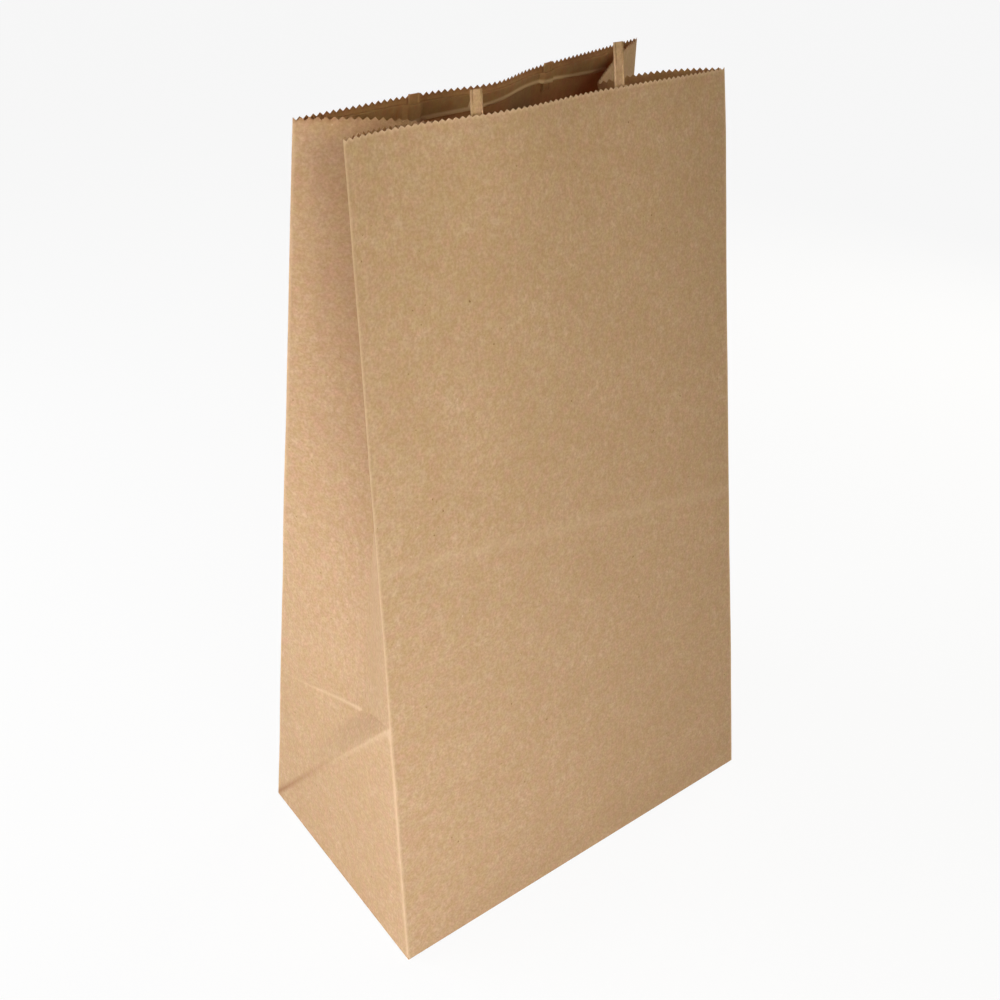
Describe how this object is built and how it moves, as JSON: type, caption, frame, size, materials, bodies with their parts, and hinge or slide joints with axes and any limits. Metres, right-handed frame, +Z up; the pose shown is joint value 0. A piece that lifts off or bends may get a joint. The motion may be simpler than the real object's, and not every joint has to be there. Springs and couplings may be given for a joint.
{
  "type": "paper lunch bag",
  "caption": "Block-bottom brown kraft paper bag standing open, with gusseted sides, a pinked mouth edge and the glued stubs of its paper handles.",
  "frame": {"origin": "middle of the underside of the bag's box, on the surface it stands on", "axes": "+Z up, +X to the right along the front panel as it is seen from the front, front panel towards -Y"},
  "size_m": [0.1554, 0.09, 0.2703],
  "materials": {
    "kraft_paper": "matt recycled kraft with fine dark and pale flecks",
    "patch_paper": "matt kraft, glued on",
    "strap_paper": "matt kraft, folded flat in several plies"
  },
  "bodies": {
    "root": {"bag_body": "kraft_paper", "handle_patch_front": "patch_paper", "handle_patch_back": "patch_paper", "strap_stub_front_left": "strap_paper", "strap_stub_front_right": "strap_paper", "strap_stub_back_left": "strap_paper", "strap_stub_back_right": "strap_paper"}
  },
  "joints": []
}
